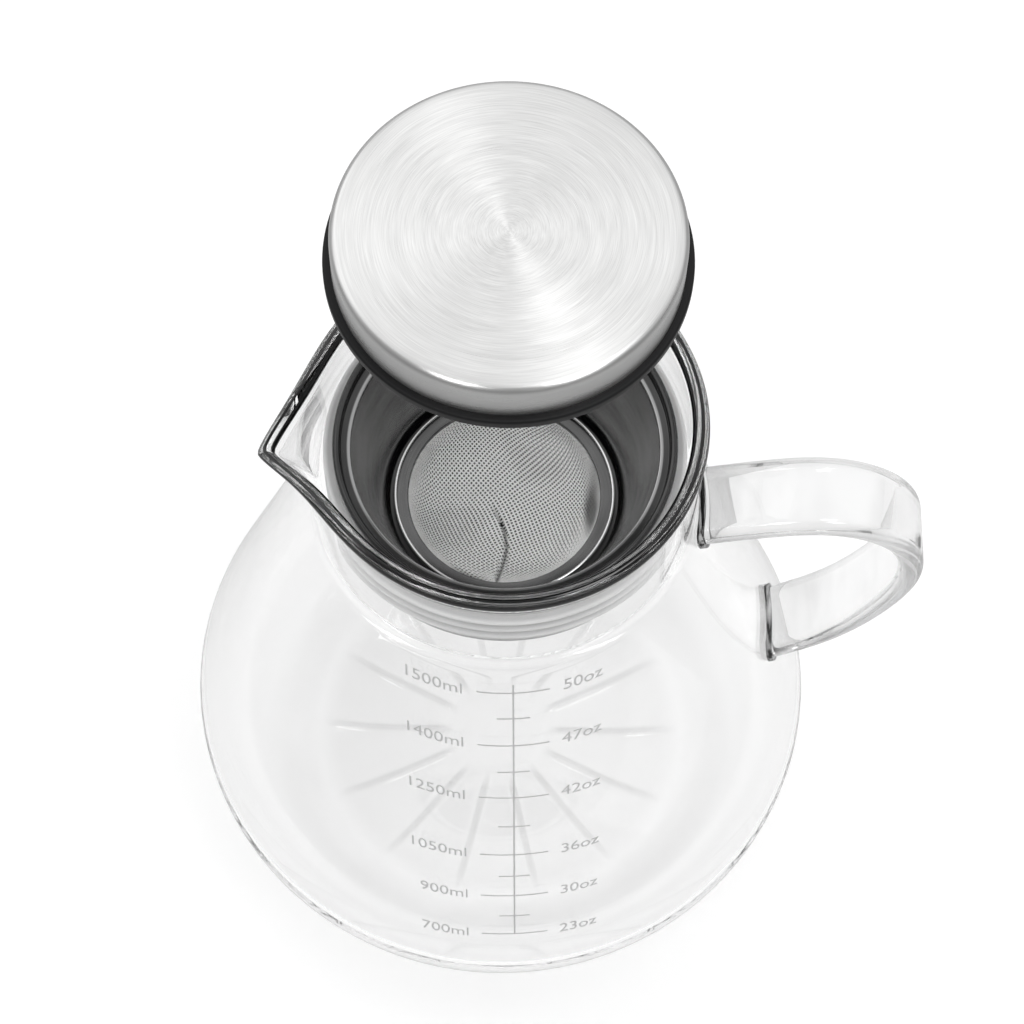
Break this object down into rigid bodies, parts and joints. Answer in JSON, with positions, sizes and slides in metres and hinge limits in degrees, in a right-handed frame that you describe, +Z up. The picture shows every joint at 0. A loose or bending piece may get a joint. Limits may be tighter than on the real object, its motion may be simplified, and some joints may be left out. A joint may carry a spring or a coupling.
{
  "type": "cold brew coffee maker",
  "caption": "Glass coffee carafe with a pouring lip and glass strap handle, a steel mesh strainer in its neck and a lift-off steel lid with a silicone gasket.",
  "frame": {"origin": "centre of the face that the carafe stands on", "axes": "+Z up along the axis of the carafe, +X towards the handle, -X towards the pouring lip"},
  "size_m": [0.166, 0.149, 0.2565],
  "materials": {
    "clear_glass": "polished",
    "brushed_steel": "brushed",
    "steel_mesh": "woven",
    "black_silicone": "satin",
    "grey_silicone": "satin",
    "lid_plastic": "moulded",
    "scale_print": "printed"
  },
  "bodies": {
    "jug": {"carafe_body": "clear_glass", "handle": "clear_glass", "upper_handle_pad": "clear_glass", "lower_handle_pad": "clear_glass"},
    "strainer": {"strainer_collar": "brushed_steel", "strainer_funnel": "brushed_steel", "strainer_seal": "grey_silicone", "mesh_cup": "steel_mesh", "mesh_ring": "brushed_steel"},
    "lid": {"lid_cap": "brushed_steel", "lid_core": "lid_plastic", "lid_gasket": "black_silicone", "lid_base": "brushed_steel"}
  },
  "joints": [
    {"name": "strainer_lift", "type": "slide", "parent": "jug", "child": "strainer", "axis": [0, 0, 1], "range_m": [0, 0.08]},
    {"name": "lid_lift", "type": "slide", "parent": "strainer", "child": "lid", "axis": [0, 0, 1], "range_m": [-0.07485, 0.025]}
  ]
}
